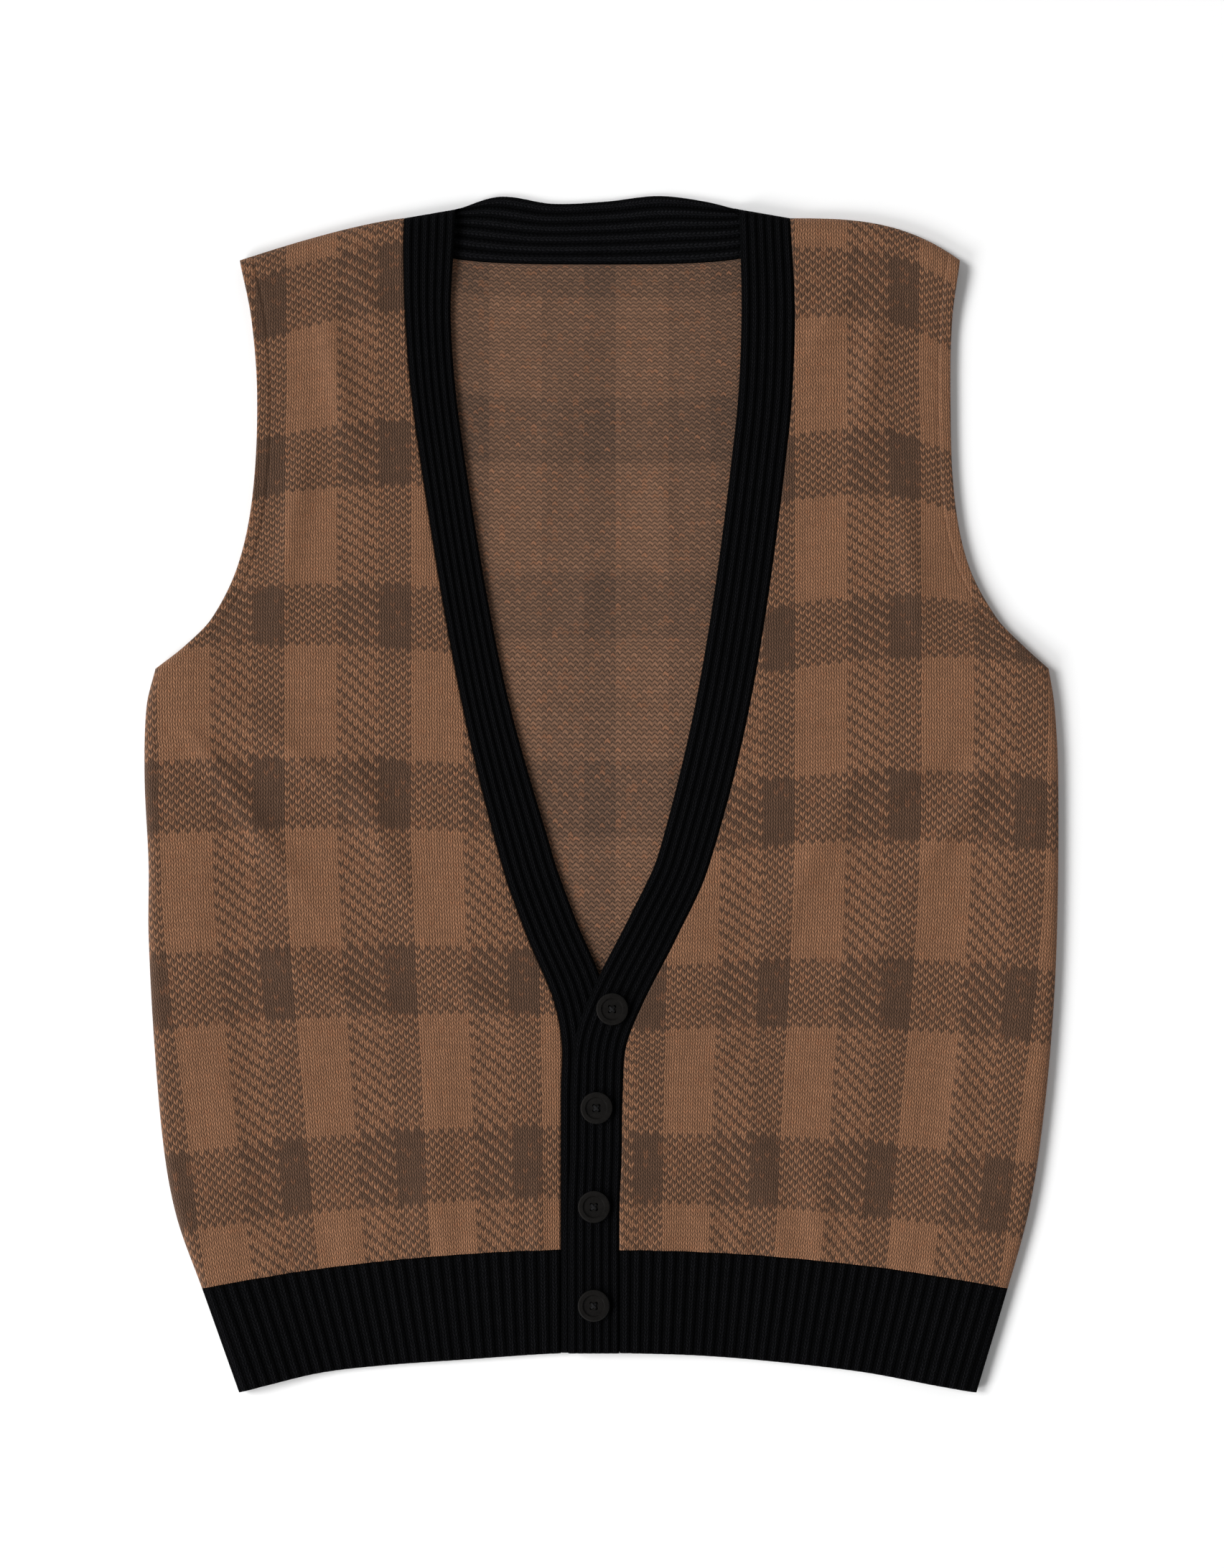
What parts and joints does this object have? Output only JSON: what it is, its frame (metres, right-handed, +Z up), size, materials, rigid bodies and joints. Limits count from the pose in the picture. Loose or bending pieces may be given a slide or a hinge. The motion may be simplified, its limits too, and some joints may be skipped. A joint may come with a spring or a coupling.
{
  "type": "sweater vest",
  "caption": "Sleeveless knitted sweater vest laid flat, with a deep V neck, a buttoned front and ribbed bands and hem.",
  "frame": {"origin": "on the floor, under the middle of the laid-out vest", "axes": "+Y from the hem to the neck, +X to the wearer's left, +Z up out of the front"},
  "size_m": [0.5192, 0.68, 0.0132],
  "materials": {
    "brown_knit": "matte knitted wool, tonal check",
    "black_rib": "matte ribbed wool",
    "black_button": "satin"
  },
  "bodies": {
    "root": {"back_panel": "brown_knit", "front_left": "brown_knit", "front_right": "brown_knit", "hem_back": "black_rib", "hem_front_left": "black_rib", "hem_front_right": "black_rib", "band_left": "black_rib", "band_right": "black_rib", "neckband_back": "black_rib", "button_1": "black_button", "button_2": "black_button", "button_3": "black_button", "button_4": "black_button"}
  },
  "joints": []
}
